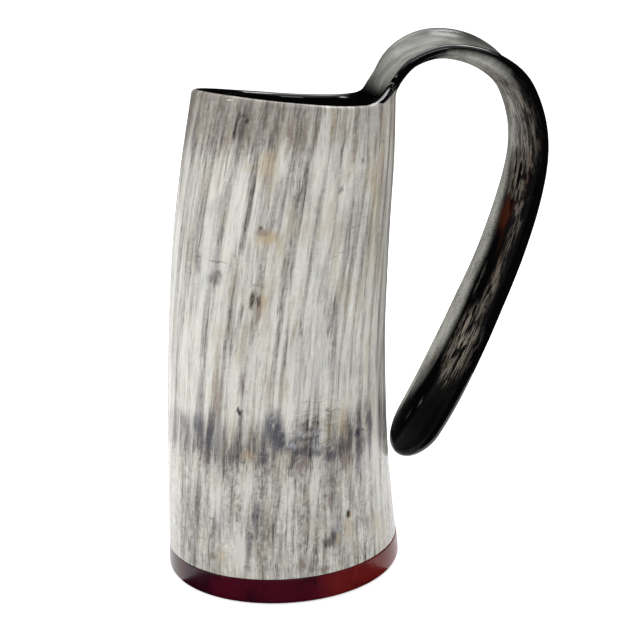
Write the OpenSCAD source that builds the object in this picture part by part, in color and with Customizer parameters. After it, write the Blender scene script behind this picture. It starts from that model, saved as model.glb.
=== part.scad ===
// Drinking tankard cut from one length of horn, with a turned wooden base.
// The wall and the strap handle are one sheet of horn: the strap was sawn free
// above the rim, heated and bent outwards and down.
// +Z is up, +X points to the handle, and the origin is at the centre of the resting face.

/* [Body] */
// Outside diameter of the foot
foot_d = 80; // [74:1:88]
// Outside diameter of the rim, measured towards the handle
rim_d = 67.4; // [62:0.2:72]
// How much narrower the rim is from side to side, because horn is never quite round
rim_flattening = 2.8; // [0:0.2:5]
// Height of the rim at the middle of the mouth
rim_height = 159; // [140:1:180]
// How far the middle of the mouth leans over the foot, towards the handle
lean = 10.4; // [4:0.2:14]
// How much lower the rim is at the handle than opposite it
rim_drop = 10.4; // [4:0.2:14]
// How much lower the rim is on the far side than on the near one
rim_side_drop = 2.1; // [0:0.1:4]
// How far the rim rises again in a soft shoulder beside the strap
root_shoulder = 4.2; // [1:0.2:6]
// Thickness of the horn at the rim
rim_wall = 3.4; // [2.8:0.1:4]
// Thickness of the horn at the foot
foot_wall = 4.2; // [3.6:0.1:5]

/* [Handle] */
// Width of the strap
handle_width = 31; // [26:0.5:34]
// Thickness of the strap
handle_thickness = 4.5; // [3.6:0.1:5.4]
// How far the strap's middle stands out from the wall at its root
handle_reach = 46.8; // [40:0.2:56]
// How far the strap's middle rises above its root
handle_rise = 14.4; // [11:0.1:20]
// How far the strap's tip hangs below its root
handle_drop = 124.4; // [98:0.2:130]
// Greatest twist of the strap, just past the root, in degrees
handle_twist = 12; // [0:1:16]
// How far round the rim the near corner of the root sweeps
near_sweep = 18.9; // [12:0.1:20]
// Height over which the near corner of the root sweeps up from the rim
near_sweep_height = 5.5; // [4:0.5:9]
// How far round the rim the far corner of the root sweeps
far_sweep = 8.2; // [5:0.1:12]
// Height over which the far corner of the root sweeps up from the rim
far_sweep_height = 9.1; // [6:0.1:12]
// Length of the rounded tip
tip_length = 14.7; // [8:0.1:18]

/* [Base] */
// Height of the wooden band under the horn
band_height = 8.8; // [6:0.2:12]
// Radius of the rounded lower edge of the band
band_edge = 2; // [0.8:0.1:3]
// How far the band swells between its edges
band_swell = 0.1; // [0:0.05:0.4]
// Height of the plug that stands up inside the horn
plug_height = 8; // [5:0.5:12]
// Width of the joint around the plug, filled with glue
joint_width = 0.6; // [0.5:0.05:0.8]
// Thickness of the glue between the band and the horn
glue_film = 0.3; // [0.2:0.05:0.5]
// How far the glue line lies back from the outside
glue_recess = 0.3; // [0.2:0.05:0.6]
// Thickness of the sealing coat on the floor of the cup
seal_thickness = 0.8; // [0.5:0.1:1.5]
// Radius of the sealing coat's hollow where it meets the wall
seal_fillet = 2.4; // [1.5:0.1:4]

/* [Hidden] */
$fn = 72;
// Clearance between the pieces of the base and what they sit in
fit_gap = 0.05;
// Clearance of the cast coat and glue to the hand-scraped wall
wall_gap = 0.25;

// Mesh counts: columns round the wall, columns across the strap, rows up the wall,
// rows in the root corners, along the strap, in the tip corners, and round a lip
wall_columns = 72;
strap_columns = 14;
wall_rows = 14;
root_rows = 8;
strap_rows = 46;
tip_rows = 6;
lip_steps = 4;
route_steps = 14;

// Girth from the foot to the rim: 1 is the foot's radius and 0 is the rim's
girth_shares = [1, 0.86, 0.70, 0.58, 0.49, 0.43, 0.36, 0.24, 0];
// Lean of the wall's middle from the foot to the rim
lean_shares = [0, -0.04, -0.04, 0.02, 0.11, 0.27, 0.48, 0.74, 1];
// Flattening of the girth from the foot to the rim
oval_shares = [0, 0, 0.1, 0.2, 0.3, 0.5, 0.7, 0.9, 1];
// Route of the strap: shares of its reach, its rise and its drop
route_shares = [
    [0, 0, 0],
    [0.03, 0.37, 0],
    [0.173, 0.834, 0],
    [0.424, 1, 0],
    [0.722, 0.697, 0],
    [0.927, 0, 0],
    [1, 0, 0.162],
    [0.829, 0, 0.404],
    [0.615, 0, 0.594],
    [0.396, 0, 0.752],
    [0.003, 0, 1]
];
// Along the strap, evenly spaced: width of its near and far halves, thickness over the rim's,
// twist, and how strongly the strap curves across its width, where 1 is the wall's own curve
near_width_shares = [0.555, 0.75, 0.97, 1.01, 1, 1, 1, 1, 1];
far_width_shares = [0.69, 0.9, 1.015, 1.015, 1, 1, 1, 1, 1];
thickness_shares = [0, 0.17, 0.83, 0.98, 1, 1, 1, 1, 1];
twist_shares = [0, 0.43, 0.7, 0.39, -0.01, -0.17, -0.35, -0.4, -0.1];
bow_shares = [1, 1.47, 1.37, 1.24, 1.12, 0.8, 0.61, 0.66, 0.29];
// How fast the rim's shoulder dies away from the strap, and the form of the near sweep: how
// soon it leaves the rim, and how hollow it is
shoulder_power = 5;
near_sweep_start = 0.88;
near_sweep_power = 1.07;
// Length of the free edge on either side of a point that its lip is set square to
lip_reach = 2;
// How far round the tip's ellipse the strap's sides go, in degrees
tip_angle = 55;
// How far to either side of a point the sheet's direction is taken
probe = 0.4;

foot_r = foot_d / 2;
rim_r = rim_d / 2;
horn_foot = band_height + glue_film;
plug_top = band_height + plug_height;

// A smooth curve through four neighbouring values, a to d, at the share f between b and c
function blend(a, b, c, d, f) =
    (2 * b + (c - a) * f + (2 * a - 5 * b + 4 * c - d) * f * f
    + (3 * b - a - 3 * c + d) * f * f * f) / 2;

// The value of a table of evenly spaced shares at u, from 0 to 1
function along(table, u) =
    let(n = len(table) - 1, i = max(0, min(n - 1, floor(u * n))), b = table[i], c = table[i + 1])
    blend(i > 0 ? table[i - 1] : 2 * b - c, b, c, i < n - 1 ? table[i + 2] : 2 * c - b, u * n - i);

function unit(v) = v / norm(v);

// The wall at a height: outside radius, half flattening, offset of its middle and thickness
function wall_r(z) = rim_r + (foot_r - rim_r) * along(girth_shares, z / rim_height);
function wall_flat(z) = rim_flattening / 2 * along(oval_shares, z / rim_height);
function wall_x(z) = lean * along(lean_shares, z / rim_height);
function wall_t(z) = foot_wall + (rim_wall - foot_wall) * min(1, z / rim_height);
function from_root(a) = max(0, min(abs(a), abs(360 - a)) - 30) / 150;
function rim_z(a) =
    rim_height - rim_drop / 2 * cos(a) - rim_side_drop / 2 * sin(a) - rim_wall / 2
    + root_shoulder * pow(1 - from_root(a), shoulder_power);

// A point on the middle of the wall's thickness
function wall_mid(a, z) =
    let(r = wall_r(z) - wall_t(z) / 2)
    [wall_x(z) + r * cos(a), (r - wall_flat(z)) * sin(a), z];

// The middle of the strap's root on the wall
root_point = wall_mid(0, rim_z(0));
root_radius = root_point.x - wall_x(root_point.z);

// The strap's route in its own plane, as closely spaced points with their distances
route_knots = [for (p = route_shares) [p[0] * handle_reach, p[1] * handle_rise - p[2] * handle_drop]];
route_end = len(route_knots) - 1;
function route_knot(i) =
    i < 0 ? [route_knots[1].x, -route_knots[1].y]
    : i > route_end ? 2 * route_knots[route_end] - route_knots[route_end - 1]
    : route_knots[i];
route = [
    for (i = [0 : route_end - 1], k = [0 : route_steps - 1])
        blend(route_knot(i - 1), route_knot(i), route_knot(i + 1), route_knot(i + 2), k / route_steps),
    route_knots[route_end]
];
function distances(i = 0, d = 0) =
    i >= len(route) ? []
    : let(e = i == 0 ? 0 : d + norm(route[i] - route[i - 1])) concat([e], distances(i + 1, e));
route_d = distances();
route_length = route_d[len(route) - 1];
route_x = [for (i = [0 : len(route) - 1]) [route_d[i], route[i].x]];
route_z = [for (i = [0 : len(route) - 1]) [route_d[i], route[i].y]];
route_step = route_length / len(route);
function route_at(d) = [lookup(abs(d), route_x), sign(d) * lookup(abs(d), route_z)];
function heading(d) = unit(route_at(min(route_length, d + route_step)) - route_at(d - route_step));

// The strap's thickness and half its width between the lips, at a distance along the route
function strap_t(d) = rim_wall + (handle_thickness - rim_wall) * along(thickness_shares, d / route_length);
function half_width(d, shares) = handle_width / 2 * along(shares, d / route_length) - strap_t(d) / 2;

// How much the root's corners add to that, and the near and far halves with their corners
function near_flare(d) =
    near_sweep * pow(1 - pow(min(1, d / near_sweep_height), near_sweep_start), near_sweep_power);
function far_flare(d) = far_sweep * (1 - sqrt(1 - pow(max(0, 1 - d / far_sweep_height), 2)));
function near_half(d) = min(0.9 * root_side, half_width(d, near_width_shares) + near_flare(d));
function far_half(d) = min(0.9 * root_side, half_width(d, far_width_shares) + far_flare(d));
root_side = root_radius - wall_flat(root_point.z);
near_angle = asin(near_half(0) / root_side);
far_angle = asin(far_half(0) / root_side);
tip_l = tip_length - handle_thickness / 2;
tip_start = route_length - tip_length;
root_end = max(near_sweep_height, far_sweep_height);

// The rows of the strap: distance, near and far halves, and how far the row bows to the tip.
// The tip is half an ellipse, which its last row follows from one tip_angle to the other
strap_plan = concat(
    [for (k = [1 : root_rows]) let(d = root_end * pow(k / root_rows, 1.5))
        [d, near_half(d), far_half(d), 0]],
    [for (k = [1 : strap_rows]) let(d = root_end + (tip_start - root_end) * k / strap_rows)
        [d, near_half(d), far_half(d), 0]],
    [for (k = [1 : tip_rows]) let(a = tip_angle * k / tip_rows)
        [tip_start + tip_l * sin(a), near_half(tip_start) * cos(a), far_half(tip_start) * cos(a),
            tip_l * (1 - sin(tip_angle)) * pow(k / tip_rows, 2)]]
);
function tip_curve(share) =
    (sqrt(1 - pow(share * cos(tip_angle), 2)) - sin(tip_angle)) / (1 - sin(tip_angle));
strap_count = len(strap_plan);

// Columns: 0 to strap_columns cross the strap's root, and the rest go on round the wall
function column_angle(j) =
    j <= strap_columns ? (near_angle + far_angle) * j / strap_columns - near_angle
    : far_angle + (360 - near_angle - far_angle) * (j - strap_columns) / (wall_columns - strap_columns);
function column_share(j) =
    let(a = column_angle(j)) sin(a) / sin(a > 0 ? far_angle : near_angle);

// How far the strap's cross curve falls back at a place across: at the root it is the wall's own
function hollow(y, bow) = root_radius / bow * (1 - sqrt(max(0.04, 1 - pow(y * bow / root_side, 2))));

// A point on the middle of the strap's thickness, at a place across and a distance along; the
// wall's own curve and the slope of the rim die away up the root
function strap_mid(y, d) =
    let(
        u = d / route_length,
        fade = min(1, d / (2 * root_end)),
        own = fade * fade * (3 - 2 * fade),
        bow = 1 + (along(bow_shares, u) - 1) * own,
        edge = hollow((half_width(d, near_width_shares) + half_width(d, far_width_shares)) / 2, bow),
        twist = handle_twist * along(twist_shares, u),
        at = route_at(d),
        ahead = heading(d),
        normal = [-ahead.y, 0, ahead.x],
        side = [0, cos(twist), 0] + sin(twist) * normal,
        up = [0, -sin(twist), 0] + cos(twist) * normal,
        over = asin(max(-1, min(1, y / root_side))),
        slope = (rim_z(over) - rim_z(0)) * (1 - own)
    )
    root_point + [at.x, 0, at.y + slope] + edge * normal + y * side + (hollow(y, bow) - edge) * up;

// Where a row and column of the strap lie: place across and distance along
function strap_place(i, j) =
    let(row = strap_plan[i - wall_rows - 1], share = column_share(j))
    [share * (share > 0 ? row[2] : row[1]), row[0] + row[3] * tip_curve(share)];
function rim_place(i, j) =
    let(a = column_angle(j)) [a, horn_foot + (rim_z(a) - horn_foot) * i / wall_rows];

wall_grid = [
    for (i = [0 : wall_rows]) [
        for (j = [0 : wall_columns - 1]) let(p = rim_place(i, j)) wall_mid(p[0], p[1])
    ]
];
strap_grid = [
    for (i = [wall_rows + 1 : wall_rows + strap_count]) [
        for (j = [0 : strap_columns]) let(p = strap_place(i, j)) strap_mid(p[0], p[1])
    ]
];
last_row = wall_rows + strap_count;

// A point of the whole sheet: rows above wall_rows have the strap's columns only
function mid_at(i, j) =
    i <= wall_rows ? wall_grid[i][(j + wall_columns) % wall_columns] : strap_grid[i - wall_rows - 1][j];
function in_strap(j) = j >= 0 && j <= strap_columns;
function top_row(j) = in_strap(j) ? last_row : wall_rows;

// The sheet's outward direction at a point, from its form a little way to either side
function wall_normal(a, z) =
    cross(wall_mid(a + 1, z) - wall_mid(a - 1, z), wall_mid(a, z + probe) - wall_mid(a, z - probe));
function strap_normal(y, d) =
    cross(strap_mid(y + probe, d) - strap_mid(y - probe, d),
        strap_mid(y, min(route_length, d + probe)) - strap_mid(y, d - probe));
function sheet_normal(i, j) =
    let(
        p = i <= wall_rows ? rim_place(i, j) : strap_place(i, j),
        n = i <= wall_rows ? wall_normal(p[0], p[1]) : strap_normal(p[0], p[1])
    )
    i == 0 ? unit([n.x, n.y, 0]) : unit(n);
function sheet_t(i, j) =
    i <= wall_rows ? wall_t(mid_at(i, j).z)
    : strap_t(strap_plan[i - wall_rows - 1][0]);
function face_point(i, j, side) = mid_at(i, j) + side * sheet_t(i, j) / 2 * sheet_normal(i, j);
function face_points(side) = concat(
    [for (i = [0 : wall_rows], j = [0 : wall_columns - 1]) face_point(i, j, side)],
    [for (i = [wall_rows + 1 : last_row], j = [0 : strap_columns]) face_point(i, j, side)]
);

// The free edge of the sheet, as one closed line of row and column pairs
free_edge = concat(
    [for (j = [strap_columns : wall_columns - 1]) [wall_rows, j]],
    [[wall_rows, 0]],
    [for (i = [wall_rows + 1 : last_row]) [i, 0]],
    [for (j = [1 : strap_columns - 1]) [last_row, j]],
    [for (i = [last_row : -1 : wall_rows + 1]) [i, strap_columns]]
);
edge_count = len(free_edge);
function edge_mid(k) = let(e = free_edge[(k + edge_count) % edge_count]) mid_at(e[0], e[1]);

// The same line with its distances, run on past both ends, to take its direction from
edge_line = [for (k = [-edge_count : 2 * edge_count - 1]) edge_mid(k + edge_count)];
edge_d = [for (k = 0, d = 0; k < 3 * edge_count;
    d = d + norm(edge_line[min(k + 1, 3 * edge_count - 1)] - edge_line[k]), k = k + 1) d];
edge_tables = [for (c = [0 : 2]) [for (k = [0 : 3 * edge_count - 1]) [edge_d[k], edge_line[k][c]]]];
function edge_at(d) = [for (c = [0 : 2]) lookup(d, edge_tables[c])];
function edge_run(k) =
    let(d = edge_d[k + edge_count]) edge_at(d + lip_reach) - edge_at(d - lip_reach);

// Points of the rounded lip between the two faces of the sheet
function lip_points() = [
    for (k = [0 : edge_count - 1])
        let(
            e = free_edge[k],
            n = sheet_normal(e[0], e[1]),
            out = unit(cross(n, edge_run(k))),
            r = sheet_t(e[0], e[1]) / 2
        )
        for (s = [1 : lip_steps - 1])
            let(a = 180 * s / lip_steps)
            edge_mid(k) + r * cos(a) * n + r * sin(a) * out
];

wall_points = (wall_rows + 1) * wall_columns;
face_count = wall_points + strap_count * (strap_columns + 1);
function face_index(i, j, side) =
    (side > 0 ? 0 : face_count)
    + (i <= wall_rows ? i * wall_columns + (j + wall_columns) % wall_columns
    : wall_points + (i - wall_rows - 1) * (strap_columns + 1) + j);
function lip_index(k, s) =
    let(m = (k + edge_count) % edge_count, e = free_edge[m])
    s == 0 ? face_index(e[0], e[1], 1)
    : s == lip_steps ? face_index(e[0], e[1], -1)
    : 2 * face_count + m * (lip_steps - 1) + s - 1;

// Two triangles over a four-sided patch, turned over for the inner face
function patch(a, b, c, d, side) = side > 0 ? [[a, b, c], [a, c, d]] : [[a, c, b], [a, d, c]];
function face_patches(side) = concat(
    [for (i = [0 : wall_rows - 1], j = [0 : wall_columns - 1])
        each patch(face_index(i, j, side), face_index(i + 1, j, side),
            face_index(i + 1, j + 1, side), face_index(i, j + 1, side), side)],
    [for (i = [wall_rows : last_row - 1], j = [0 : strap_columns - 1])
        each patch(face_index(i, j, side), face_index(i + 1, j, side),
            face_index(i + 1, j + 1, side), face_index(i, j + 1, side), side)]
);
lip_patches = [
    for (k = [0 : edge_count - 1], s = [0 : lip_steps - 1])
        each patch(lip_index(k, s), lip_index(k, s + 1), lip_index(k + 1, s + 1), lip_index(k + 1, s), 1)
];
foot_patches = [
    for (j = [0 : wall_columns - 1])
        each patch(face_index(0, j, -1), face_index(0, j, 1), face_index(0, j + 1, 1),
            face_index(0, j + 1, -1), 1)
];

// Inside radius of the horn at a height, clear of its facets and of its drift off the middle
function bore_r(z) =
    (wall_r(z) - wall_t(z) - wall_flat(z)) * cos(180 / wall_columns) - abs(wall_x(z));
plug_r = bore_r(plug_top) - joint_width;

// The horn: wall, rounded rim and strap handle in one piece
module horn() {
    color([0.80, 0.77, 0.72])
        polyhedron(
            points = concat(face_points(1), face_points(-1), lip_points()),
            faces = concat(face_patches(1), face_patches(-1), lip_patches, foot_patches),
            convexity = 8
        );
}

// Turned base: a band flush with the horn, and a plug that stands up inside it
module wood_base() {
    top_r = wall_r(horn_foot);
    color([0.36, 0.07, 0.06])
        rotate_extrude()
            polygon(concat(
                [[0, 0], [foot_r - band_edge, 0]],
                [for (a = [-75 : 15 : 0])
                    [foot_r - band_edge + band_edge * cos(a), band_edge + band_edge * sin(a)]],
                [for (k = [1 : 6]) let(u = k / 6, z = band_edge + (band_height - band_edge) * u)
                    [foot_r + (top_r - foot_r) * u + band_swell * sin(180 * u), z]],
                [[plug_r, band_height], [plug_r, plug_top], [0, plug_top]]
            ));
}

// Glue: a film on the band's shoulder and a sleeve around the plug
module base_glue() {
    in_r = plug_r + fit_gap;
    sleeve_r = bore_r(plug_top) - wall_gap;
    color([0.18, 0.12, 0.09])
        rotate_extrude()
            polygon([
                [in_r, band_height],
                [wall_r(horn_foot) - glue_recess, band_height],
                [wall_r(horn_foot) - glue_recess, horn_foot],
                [sleeve_r, horn_foot],
                [sleeve_r, plug_top],
                [in_r, plug_top]
            ]);
}

// Clear coat over the plug, drawn up the wall a little all round
module floor_seal() {
    edge_r = bore_r(plug_top + seal_thickness + seal_fillet) - wall_gap;
    top = plug_top + seal_thickness;
    color([0.25, 0.22, 0.20])
        rotate_extrude()
            polygon(concat(
                [[0, plug_top], [edge_r, plug_top], [edge_r, top + seal_fillet]],
                [for (a = [15 : 15 : 90])
                    [edge_r - seal_fillet * (1 - cos(a)), top + seal_fillet * (1 - sin(a))]
                ],
                [[0, top]]
            ));
}

horn();
wood_base();
base_glue();
floor_seal();
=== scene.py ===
"""A drinking tankard of one piece of streaked horn, with a bent strap handle and a dark red wooden base."""
from bisect import bisect
from math import asin, cos, pi, radians, sin, sqrt
from types import SimpleNamespace

import bmesh
import bpy
from mathutils import Matrix, Vector, noise


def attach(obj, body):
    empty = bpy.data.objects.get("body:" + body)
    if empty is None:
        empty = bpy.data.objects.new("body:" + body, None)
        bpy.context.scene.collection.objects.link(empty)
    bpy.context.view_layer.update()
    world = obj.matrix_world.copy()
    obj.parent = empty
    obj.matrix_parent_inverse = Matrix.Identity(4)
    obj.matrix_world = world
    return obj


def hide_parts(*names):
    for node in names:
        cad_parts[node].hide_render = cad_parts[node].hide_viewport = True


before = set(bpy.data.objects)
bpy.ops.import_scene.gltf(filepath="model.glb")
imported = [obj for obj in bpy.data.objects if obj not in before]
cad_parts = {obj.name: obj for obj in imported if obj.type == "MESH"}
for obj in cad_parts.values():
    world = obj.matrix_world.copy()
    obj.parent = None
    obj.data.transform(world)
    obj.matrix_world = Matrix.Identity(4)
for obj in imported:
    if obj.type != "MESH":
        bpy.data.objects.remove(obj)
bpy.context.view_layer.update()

# Sizes in millimetres
FOOT_D, RIM_D, RIM_FLATTENING, RIM_HEIGHT = 80, 67.4, 2.8, 159
LEAN, RIM_DROP, RIM_SIDE_DROP, ROOT_SHOULDER = 10.4, 10.4, 2.1, 4.2
RIM_WALL, FOOT_WALL = 3.4, 4.2
STRAP_WIDTH, STRAP_THICKNESS = 31, 4.5
STRAP_REACH, STRAP_RISE, STRAP_DROP, STRAP_TWIST = 46.8, 14.4, 124.4, 12
NEAR_SWEEP, NEAR_SWEEP_HEIGHT, FAR_SWEEP, FAR_SWEEP_HEIGHT = 18.9, 5.5, 8.2, 9.1
TIP_LENGTH, TIP_ANGLE = 14.7, 55
BAND_HEIGHT, BAND_EDGE, BAND_SWELL, PLUG_HEIGHT = 8.8, 2, 0.1, 8
JOINT_WIDTH, GLUE_FILM, GLUE_RECESS, SEAL_THICKNESS, SEAL_FILLET = 0.6, 0.3, 0.3, 0.8, 2.4
FIT_GAP, WALL_GAP = 0.05, 0.25
BASE_CORNER, FOOT_UNDERCUT, GLUE_DIP = 0.35, 0.4, 0.08
# Shares of those sizes at even steps, up the wall and along the strap; the route has its own three
GIRTH = [1, 0.86, 0.70, 0.58, 0.49, 0.43, 0.36, 0.24, 0]
LEANING = [0, -0.04, -0.04, 0.02, 0.11, 0.27, 0.48, 0.74, 1]
OVAL = [0, 0, 0.1, 0.2, 0.3, 0.5, 0.7, 0.9, 1]
ROUTE = [(0, 0, 0), (0.03, 0.37, 0), (0.173, 0.834, 0), (0.424, 1, 0), (0.722, 0.697, 0), (0.927, 0, 0),
         (1, 0, 0.162), (0.829, 0, 0.404), (0.615, 0, 0.594), (0.396, 0, 0.752), (0.003, 0, 1)]
NEAR_WIDTHS = [0.555, 0.75, 0.97, 1.01, 1, 1, 1, 1, 1]
FAR_WIDTHS = [0.69, 0.9, 1.015, 1.015, 1, 1, 1, 1, 1]
THICKNESSES = [0, 0.17, 0.83, 0.98, 1, 1, 1, 1, 1]
TWISTS = [0, 0.43, 0.7, 0.39, -0.01, -0.17, -0.35, -0.4, -0.1]
BOWS = [1, 1.47, 1.37, 1.24, 1.12, 0.8, 0.61, 0.66, 0.29]

# How the rim rises to the strap and how the root's corners sweep: angles, shares and powers
SHOULDER_START, SHOULDER_FALL = radians(30), 5
SWEEP_BEND, SWEEP_FALL, ROOT_LIMIT, HOLLOW_LIMIT = 0.88, 1.07, 0.9, 0.04
# Hand scraping: depth, width and length of a dip, and the height over which it starts at the foot
SCRAPE_DEPTH, SCRAPE_WIDTH, SCRAPE_LENGTH, SCRAPE_START = 0.22, 13, 34, 10

# The pattern is laid out round the wall at one radius, from the middle of the front, on leaning fibres
PATTERN_RADIUS, FRONT, FIBRE_TWIST = 36, radians(-105), 0.0024
LEAN_ACROSS = PATTERN_RADIUS * FIBRE_TWIST

# Counts of columns, rows and steps
WALL_COLUMNS, STRAP_COLUMNS, WALL_ROWS = 144, 36, 44
ROOT_ROWS, STRAP_ROWS, TIP_ROWS, LIP_STEPS = 16, 96, 10, 8
ROOT_CROWDING, ROUTE_SAMPLES, LATHE_STEPS, SIDE_STEPS, CORNER_STEPS = 1.5, 14, 160, 8, 10
# Steps to either side for a direction, in radians round the wall and in mm, and how near counts as one point
TURN_STEP, PLACE_STEP, WELD = 0.02, 0.4, 0.002
MM = 0.001


# The horn's form

def blend(a, b, c, d, f):
    """A smooth curve through four neighbours, at the share f between b and c."""
    return (2 * b + (c - a) * f + (2 * a - 5 * b + 4 * c - d) * f * f
            + (3 * b - a - 3 * c + d) * f ** 3) / 2


def along(table, u):
    """The value of a table of evenly spaced shares at u, from 0 to 1."""
    n = len(table) - 1
    i = max(0, min(n - 1, int(u * n)))
    b, c = table[i], table[i + 1]
    return blend(table[i - 1] if i > 0 else 2 * b - c, b, c,
                 table[i + 2] if i < n - 1 else 2 * c - b, u * n - i)


def wall_radius(z):
    return RIM_D / 2 + (FOOT_D - RIM_D) / 2 * along(GIRTH, z / RIM_HEIGHT)


def wall_flat(z):
    return RIM_FLATTENING / 2 * along(OVAL, z / RIM_HEIGHT)


def wall_lean(z):
    return LEAN * along(LEANING, z / RIM_HEIGHT)


def wall_thickness(z):
    return FOOT_WALL + (RIM_WALL - FOOT_WALL) * min(1, z / RIM_HEIGHT)


def wall_middle(a, z):
    """A point on the middle of the wall's thickness."""
    r = wall_radius(z) - wall_thickness(z) / 2
    return Vector((wall_lean(z) + r * cos(a), (r - wall_flat(z)) * sin(a), z))


def rim_height(a):
    """Height of the middle of the rim's lip: it tilts, and rises in a shoulder towards the strap."""
    from_root = max(0, abs((a + pi) % (2 * pi) - pi) - SHOULDER_START) / (pi - SHOULDER_START)
    return (RIM_HEIGHT - RIM_DROP / 2 * cos(a) - RIM_SIDE_DROP / 2 * sin(a) - RIM_WALL / 2
            + ROOT_SHOULDER * (1 - from_root) ** SHOULDER_FALL)


HORN_FOOT = BAND_HEIGHT + GLUE_FILM
ROOT = wall_middle(0, rim_height(0))
ROOT_RADIUS = ROOT.x - wall_lean(ROOT.z)
STRAP_ACROSS = -PATTERN_RADIUS * FRONT - LEAN_ACROSS * ROOT.z


def strap_route():
    """The strap's route in its own plane, as closely spaced points with their distances."""
    knots = [Vector((r * STRAP_REACH, up * STRAP_RISE - down * STRAP_DROP)) for r, up, down in ROUTE]
    ends = [Vector((knots[1].x, -knots[1].y))] + knots + [2 * knots[-1] - knots[-2]]
    points = [blend(*ends[i:i + 4], k / ROUTE_SAMPLES)
              for i in range(len(knots) - 1) for k in range(ROUTE_SAMPLES)]
    points.append(knots[-1])
    far = [0]
    for p, q in zip(points, points[1:]):
        far.append(far[-1] + (q - p).length)
    return points, far


ROUTE_POINTS, ROUTE_FAR = strap_route()
ROUTE_LENGTH = ROUTE_FAR[-1]
ROUTE_STEP = ROUTE_LENGTH / len(ROUTE_POINTS)


def route_at(d):
    """The route at a distance.

    Before the root it runs on, mirrored, so that the strap leaves the rim upright.
    """
    if d < 0:
        ahead = route_at(-d)
        return Vector((ahead.x, -ahead.y))
    d = min(ROUTE_LENGTH, d)
    i = max(k for k, far in enumerate(ROUTE_FAR[:-1]) if far <= d)
    f = (d - ROUTE_FAR[i]) / (ROUTE_FAR[i + 1] - ROUTE_FAR[i])
    return ROUTE_POINTS[i].lerp(ROUTE_POINTS[i + 1], f)


def heading(d):
    return (route_at(d + ROUTE_STEP) - route_at(d - ROUTE_STEP)).normalized()


def strap_thickness(d):
    return RIM_WALL + (STRAP_THICKNESS - RIM_WALL) * along(THICKNESSES, d / ROUTE_LENGTH)


def half_width(d, widths):
    return STRAP_WIDTH / 2 * along(widths, d / ROUTE_LENGTH) - strap_thickness(d) / 2


def flare(d, side):
    """What the root's corner adds to the strap's half width: a long low sweep on the near side."""
    if side > 0:
        return FAR_SWEEP * (1 - sqrt(1 - max(0, 1 - d / FAR_SWEEP_HEIGHT) ** 2))
    return NEAR_SWEEP * (1 - min(1, d / NEAR_SWEEP_HEIGHT) ** SWEEP_BEND) ** SWEEP_FALL


def root_half(d, side):
    own = half_width(d, FAR_WIDTHS if side > 0 else NEAR_WIDTHS)
    return min(ROOT_LIMIT * ROOT_SIDE, own + flare(d, side))


ROOT_END = max(NEAR_SWEEP_HEIGHT, FAR_SWEEP_HEIGHT)
ROOT_SIDE = ROOT_RADIUS - wall_flat(ROOT.z)
FAR_ANGLE = asin(root_half(0, 1) / ROOT_SIDE)
NEAR_ANGLE = asin(root_half(0, -1) / ROOT_SIDE)


def strap_rows():
    """Rows across the strap: distance, near and far half widths, and how far the row bows to the tip.

    The tip is half an ellipse, which its last row follows from one TIP_ANGLE to the other.
    """
    long, turn = TIP_LENGTH - STRAP_THICKNESS / 2, radians(TIP_ANGLE)
    start = ROUTE_LENGTH - TIP_LENGTH
    places = [ROOT_END * (k / ROOT_ROWS) ** ROOT_CROWDING for k in range(1, ROOT_ROWS + 1)]
    places += [ROOT_END + (start - ROOT_END) * k / STRAP_ROWS for k in range(1, STRAP_ROWS + 1)]
    rows = [(d, root_half(d, -1), root_half(d, 1), 0) for d in places]
    near, far = root_half(start, -1), root_half(start, 1)
    for k in range(1, TIP_ROWS + 1):
        a = turn * k / TIP_ROWS
        bowed = long * (1 - sin(turn)) * (k / TIP_ROWS) ** 2
        rows.append((start + long * sin(a), near * cos(a), far * cos(a), bowed))
    return rows


def tip_curve(share):
    turn = radians(TIP_ANGLE)
    return (sqrt(1 - (share * cos(turn)) ** 2) - sin(turn)) / (1 - sin(turn))


def column_angle(j):
    """Columns 0 to STRAP_COLUMNS cross the strap's root, and the rest go on round the wall."""
    crossed = NEAR_ANGLE + FAR_ANGLE
    if j <= STRAP_COLUMNS:
        return -NEAR_ANGLE + crossed * j / STRAP_COLUMNS
    return FAR_ANGLE + (2 * pi - crossed) * (j - STRAP_COLUMNS) / (WALL_COLUMNS - STRAP_COLUMNS)


def column_share(j):
    a = column_angle(j)
    return sin(a) / sin(FAR_ANGLE if a > 0 else NEAR_ANGLE)


def hollow(y, bow):
    """How far the strap's cross curve falls back at a place across: at the root it is the wall's own."""
    return ROOT_RADIUS / bow * (1 - sqrt(max(HOLLOW_LIMIT, 1 - (y * bow / ROOT_SIDE) ** 2)))


def round_wall(y):
    """The angle round the wall that lies under a place across the strap."""
    return asin(max(-1, min(1, y / ROOT_SIDE)))


def strap_middle(y, d):
    """A point on the middle of the strap's thickness, at a place across and a distance along.

    The wall's own curve and the slope of the rim die away up the root.
    """
    u = d / ROUTE_LENGTH
    fade = min(1, d / (2 * ROOT_END))
    own = fade * fade * (3 - 2 * fade)
    bow = 1 + (along(BOWS, u) - 1) * own
    edge = hollow((half_width(d, NEAR_WIDTHS) + half_width(d, FAR_WIDTHS)) / 2, bow)
    twist = radians(STRAP_TWIST) * along(TWISTS, u)
    at, ahead = route_at(d), heading(d)
    normal = Vector((-ahead.y, 0, ahead.x))
    side = Vector((0, cos(twist), 0)) + sin(twist) * normal
    up = Vector((0, -sin(twist), 0)) + cos(twist) * normal
    slope = (rim_height(round_wall(y)) - rim_height(0)) * (1 - own)
    on_route = ROOT + Vector((at.x, 0, at.y + slope))
    return on_route + edge * normal + y * side + (hollow(y, bow) - edge) * up


def strap_place(row, j):
    """Where a column meets a row of the strap: place across and distance along."""
    share = column_share(j)
    return share * (row[2] if share > 0 else row[1]), row[0] + row[3] * tip_curve(share)


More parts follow.
